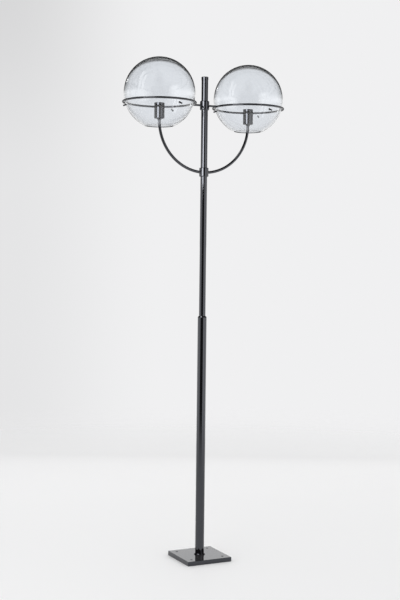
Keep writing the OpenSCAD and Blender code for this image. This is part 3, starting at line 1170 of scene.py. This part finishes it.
def background(tree, shade, strength=1.0):
    return add(tree, "ShaderNodeBackground", {"Color": shade, "Strength": strength}).outputs[0]


def mix_shaders(tree, factor, one, other):
    return add(tree, "ShaderNodeMixShader", {0: factor, 1: one, 2: other}).outputs[0]


class LAMP_OT_studio(Operator):
    """Pale floor, even light, soft boxes and the camera"""
    bl_idname = "lamp.studio"
    bl_label = "Studio"

    def execute(self, context):
        scene = context.scene
        scene.view_settings.view_transform = "Standard"
        self.camera(scene)
        self.world(scene)
        self.floor(scene)
        self.lights(scene.lamp_studio)
        self.back_panel(scene.lamp_studio.back)
        return {"FINISHED"}

    def camera(self, scene):
        data = bpy.data.cameras.new("camera")
        data.sensor_fit = "AUTO"
        data.sensor_width = 36.0
        data.lens = scene.lamp_studio.lens
        data.clip_end = 200
        camera = bpy.data.objects.new("camera", data)
        turn = Matrix((CAMERA_RIGHT, CAMERA_UP, -CAMERA_AHEAD)).transposed().to_4x4()
        camera.matrix_world = Matrix.Translation(CAMERA_PLACE) @ turn
        scene.collection.objects.link(camera)
        scene.camera = camera

    def lights(self, studio):
        """One light for the shadows, and three for what the pieces reflect."""
        globes = ["lamp_globe_" + side for side in SIDES]
        area_light("soft", turn=-35, distance=3.6, height=3.4, size=(2.4, 2.4), aim_z=0.6,
                   brightness=studio.soft, rays="diffuse")
        area_light("key", turn=-31, distance=3.6, height=2.7, size=(2.2, 1.2), aim_z=2.2,
                   brightness=studio.key, rays="glossy", pieces=globes)
        area_light("top", turn=-60, distance=1.8, height=5.2, size=(1.6, 1.6), aim_z=1.2,
                   brightness=studio.key * 0.5, rays="glossy", pieces=globes)
        area_light("window", turn=-54, distance=3.2, height=3.8, size=(0.45, 2.4), aim_z=2.3,
                   brightness=studio.window, rays="glossy", pieces=globes, state="INCLUDE")

    def world(self, scene):
        """Even light for dull surfaces, the studio for glossy ones, the backdrop for the rest."""
        studio = scene.lamp_studio
        world = bpy.data.worlds.new("studio")
        scene.world = world
        world.use_nodes = True
        tree = world.node_tree
        tree.nodes.clear()
        way = add(tree, "ShaderNodeTexCoord").outputs["Generated"]
        z = add(tree, "ShaderNodeSeparateXYZ", {"Vector": way}).outputs["Z"]
        behind = self.backdrop(tree, way, z, tuple(scene.lamp_colours.backdrop))
        clear = blend_colours(tree, ramp(tree, z, *CEILING_IN_GLASS), behind, grey(studio.ceiling))
        rays = add(tree, "ShaderNodeLightPath").outputs
        seen = background(tree, (1.0, 1.0, 1.0, 1.0), studio.sky)
        for kind, shade in (("Is Glossy Ray", self.reflected(tree, way, z, studio)),
                            ("Is Transmission Ray", clear), ("Is Camera Ray", behind)):
            seen = mix_shaders(tree, rays[kind], seen, background(tree, shade))
        add(tree, "ShaderNodeOutputWorld", {"Surface": seen})

    def backdrop(self, tree, way, z, shade):
        """The backdrop, which is darker on the left and darkest there at the top."""
        shades = [darker(shade, part) for part in LEFT_SHADES]
        left = blend_colours(tree, ramp(tree, z, *LEFT_HEIGHTS), *shades)
        return blend_colours(tree, ramp(tree, along(tree, way, TO_RIGHT), *LEFT_EDGE), left, shade)

    def reflected(self, tree, way, z, studio):
        """The studio as glossy pieces reflect it."""
        flat = vector_maths(tree, "MULTIPLY", "Vector", way, (1.0, 1.0, 0.0))
        level = vector_maths(tree, "NORMALIZE", "Vector", flat)
        shade = grey(studio.surround)
        for turn, inner, outer, upper in SIDE_PANELS:
            bright = blend_colours(tree, ramp(tree, z, *PANEL_FADE), grey(studio.panels),
                                   grey(studio.panels * upper))
            shade = blend_colours(tree, sector(tree, level, turn, inner, outer), shade, bright)
        shade = blend_colours(tree, ramp(tree, z, *CEILING), shade, grey(studio.ceiling))
        shade = blend_colours(tree, sector(tree, level, *UNLIT_END), shade, grey(studio.dark_end))
        for brightness, box in ((studio.fill, FILL_BOX), (studio.rim, RIM_WINDOW)):
            turn, inner, outer, bottom, top = box
            in_height = maths(tree, "MULTIPLY", ramp(tree, z, *bottom), ramp(tree, z, *top))
            cover = maths(tree, "MULTIPLY", sector(tree, level, turn, inner, outer), in_height)
            shade = blend_colours(tree, cover, shade, grey(brightness))
        return shade

    def back_panel(self, brightness):
        """A bright panel behind the lamp that only reflections show."""
        distance, half_width, bottom, top = 3.0, 2.6, 0.1, 1.6
        middle, half = direction(180) * distance, TO_RIGHT * half_width
        mesh = bpy.data.meshes.new("back_panel")
        corners = ((-1, bottom), (1, bottom), (1, top), (-1, top))
        mesh.from_pydata([tuple(middle + half * a + Vector((0, 0, z))) for a, z in corners], [],
                         [(0, 1, 2, 3)])
        panel = new_object("back_panel", mesh)
        made, tree, shader = new_material("studio_panel")
        tree.nodes.remove(shader)
        light = add(tree, "ShaderNodeEmission", {"Strength": brightness})
        feed(tree, tree.nodes["Material Output"], {"Surface": light.outputs["Emission"]})
        mesh.materials.append(made)
        for ray in ("camera", "diffuse", "transmission", "shadow", "volume_scatter"):
            setattr(panel, "visible_" + ray, False)

    def floor(self, scene):
        """A round pale floor that fades into the backdrop."""
        radius, fade_start, fade_end = 9.0, 1.6, 6.0
        bm = bmesh.new()
        bmesh.ops.create_circle(bm, cap_ends=True, segments=96, radius=radius)
        floor = new_object("floor", to_mesh("floor", bm))
        made, tree, shader = new_material("studio_floor")
        feed(tree, shader, {"Base Color": (*scene.lamp_colours.floor, 1.0), "Roughness": 0.6,
                            "Specular IOR Level": 0.2})
        where = add(tree, "ShaderNodeTexCoord").outputs["Object"]
        far = vector_maths(tree, "LENGTH", "Value", where)
        clear = add(tree, "ShaderNodeBsdfTransparent")
        mixed = mix_shaders(tree, ramp(tree, far, fade_start, fade_end), shader.outputs[0],
                            clear.outputs[0])
        feed(tree, tree.nodes["Material Output"], {"Surface": mixed})
        floor.data.materials.append(made)


STEPS = (LAMP_OT_base_plate, LAMP_OT_lower_pole, LAMP_OT_upper_pole, LAMP_OT_collars,
         LAMP_OT_set_screws, LAMP_OT_rings, LAMP_OT_arms, LAMP_OT_lampholders, LAMP_OT_globes,
         LAMP_OT_pins, LAMP_OT_wiring, LAMP_OT_studio)


class LAMP_PT_panel(Panel):
    """Steps that make the lamp"""
    bl_idname = "LAMP_PT_panel"
    bl_label = "Floor lamp"
    bl_space_type = "VIEW_3D"
    bl_region_type = "UI"
    bl_category = "Lamp"

    def draw(self, context):
        for step in STEPS:
            self.layout.operator(step.bl_idname)
        for group_name, group in GROUPS.items():
            box = self.layout.box()
            for name in group.__annotations__:
                box.prop(getattr(context.scene, group_name), name)


GROUPS = {"lamp_sizes": LampSizes, "lamp_colours": LampColours, "lamp_studio": LampStudio}


def register():
    for group in (*GROUPS.values(), *STEPS, LAMP_PT_panel):
        bpy.utils.register_class(group)
    for name, group in GROUPS.items():
        setattr(bpy.types.Scene, name, PointerProperty(type=group))


def unregister():
    for name in GROUPS:
        delattr(bpy.types.Scene, name)
    for group in reversed((*GROUPS.values(), *STEPS, LAMP_PT_panel)):
        bpy.utils.unregister_class(group)


def main():
    register()
    for step in STEPS:
        area, name = step.bl_idname.split(".")
        getattr(getattr(bpy.ops, area), name)()


if __name__ == "__main__":
    main()
